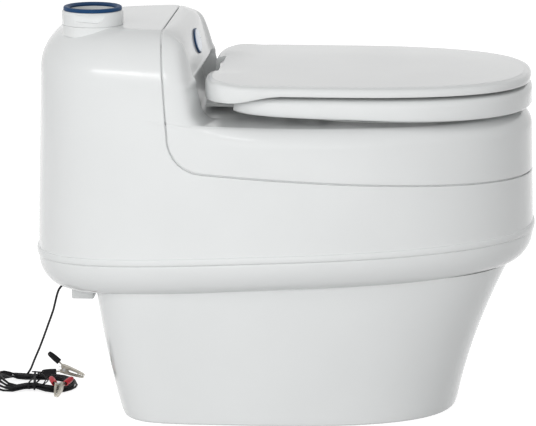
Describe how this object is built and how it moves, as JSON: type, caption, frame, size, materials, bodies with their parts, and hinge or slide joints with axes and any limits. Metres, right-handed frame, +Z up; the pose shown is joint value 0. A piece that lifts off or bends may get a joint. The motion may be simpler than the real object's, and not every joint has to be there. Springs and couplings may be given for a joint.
{
  "type": "composting toilet",
  "caption": "Free-standing separating composting toilet with lift-off hood, sprung seat, hinged lid, turning waste container, vent fan and battery lead.",
  "frame": {"origin": "on the floor, under the middle of the casing", "axes": "+X to the front of the toilet, +Y to the left of a seated person, +Z up"},
  "size_m": [0.7472, 0.456, 0.542],
  "materials": {
    "white_shell": "glossy moulded plastic",
    "bowl_white": "smooth moulded plastic",
    "seal_blue": "soft blue rubber",
    "badge_plate": "pale blue plate, bare",
    "dark_plastic": "black moulded plastic",
    "bin_grey": "grey moulded plastic",
    "hose_grey": "smooth hose",
    "steel": "bright steel",
    "black_rubber": "black rubber",
    "cord_black": "black vinyl cord",
    "grip_red": "red vinyl sleeve",
    "nickel": "dull nickel plate"
  },
  "bodies": {
    "casing": {"lower_casing": "white_shell", "upper_casing": "white_shell", "vent_collar": "white_shell", "vent_seal": "seal_blue", "fan_duct": "dark_plastic", "fan_frame": "dark_plastic", "fan_motor": "dark_plastic", "fan_screws": "steel", "outlet_block": "white_shell", "cord_gland": "black_rubber", "urine_hose": "hose_grey", "urine_funnel": "bowl_white", "spindle": "steel", "glide_ring": "dark_plastic", "pawl_post": "steel", "pawl_pin": "steel", "cord_drop": "cord_black", "cord_hank": "cord_black", "cord_tie": "cord_black", "lead_black": "cord_black", "lead_red": "cord_black", "black_jaw_lower": "nickel", "black_grip_lower": "black_rubber", "black_pin": "steel", "black_spring": "steel", "red_jaw_lower": "nickel", "red_grip_lower": "grip_red", "red_pin": "steel", "red_spring": "steel"},
    "fan": {"fan_rotor": "dark_plastic"},
    "table": {"turntable": "dark_plastic", "waste_container": "bin_grey"},
    "pawl": {"pawl_lever": "steel"},
    "hood": {"hood": "white_shell", "hood_tower": "white_shell", "badge": "badge_plate", "separator_bowl": "bowl_white", "guard_pin": "steel", "seat_springs": "steel"},
    "guard": {"view_guard": "dark_plastic"},
    "carrier": {"hinge_bracket": "white_shell", "guide_stems": "steel", "push_rod": "steel", "guard_rod": "steel", "seat_pin": "steel"},
    "ring": {"seat_ring": "white_shell", "ring_buffers": "black_rubber"},
    "lid": {"lid": "white_shell", "lid_buffers": "black_rubber"},
    "black_clip_jaw": {"black_jaw_upper": "nickel", "black_grip_upper": "black_rubber"},
    "red_clip_jaw": {"red_jaw_upper": "nickel", "red_grip_upper": "grip_red"}
  },
  "joints": [
    {"name": "hood_lift", "type": "slide", "parent": "casing", "child": "hood", "axis": [0, 0, 1], "range_m": [0, 0.3]},
    {"name": "seat_press", "type": "slide", "parent": "hood", "child": "carrier", "axis": [0, 0, -1], "range_m": [0, 0.005], "stiffness_N_per_m": 4000, "springref_m": -0.035, "deforming": ["seat_springs"]},
    {"name": "ring_hinge", "type": "hinge", "parent": "carrier", "child": "ring", "pos_m": [-0.078, 0, 0.44], "axis": [0, -1, 0], "range_deg": [0, 95]},
    {"name": "lid_hinge", "type": "hinge", "parent": "ring", "child": "lid", "pos_m": [-0.078, 0, 0.44], "axis": [0, 1, 0], "range_deg": [-105, 0]},
    {"name": "turntable_spin", "type": "hinge", "parent": "casing", "child": "table", "pos_m": [0.06, 0, 0.015], "axis": [0, 0, 1], "continuous": true},
    {"name": "fan_spin", "type": "hinge", "parent": "casing", "child": "fan", "pos_m": [-0.255, -0.067, 0.455], "axis": [0, 0, 1], "continuous": true},
    {"name": "guard_swing", "type": "hinge", "parent": "hood", "child": "guard", "pos_m": [-0.0303, 0, 0.366], "axis": [0, 1, 0], "range_deg": [0, 70.1]},
    {"name": "pawl_swing", "type": "hinge", "parent": "casing", "child": "pawl", "pos_m": [-0.1, 0, 0.052], "axis": [1, 0, 0], "range_deg": [-28.7, 0]},
    {"name": "black_clip_open", "type": "hinge", "parent": "casing", "child": "black_clip_jaw", "pos_m": [-0.311, 0.027, 0.0198], "axis": [0, -1, 0], "range_deg": [0, 28], "stiffness_Nm_per_rad": 0.3, "springref_deg": -34.38},
    {"name": "red_clip_open", "type": "hinge", "parent": "casing", "child": "red_clip_jaw", "pos_m": [-0.309, -0.047, 0.0136], "axis": [0, -0.1977, 0.9803], "range_deg": [0, 28], "stiffness_Nm_per_rad": 0.3, "springref_deg": -34.38}
  ],
  "couplings": [
    {"joint": "guard_swing", "follows": "seat_press", "rad_per_m": 244.35},
    {"joint": "pawl_swing", "follows": "seat_press", "rad_per_m": -100}
  ]
}
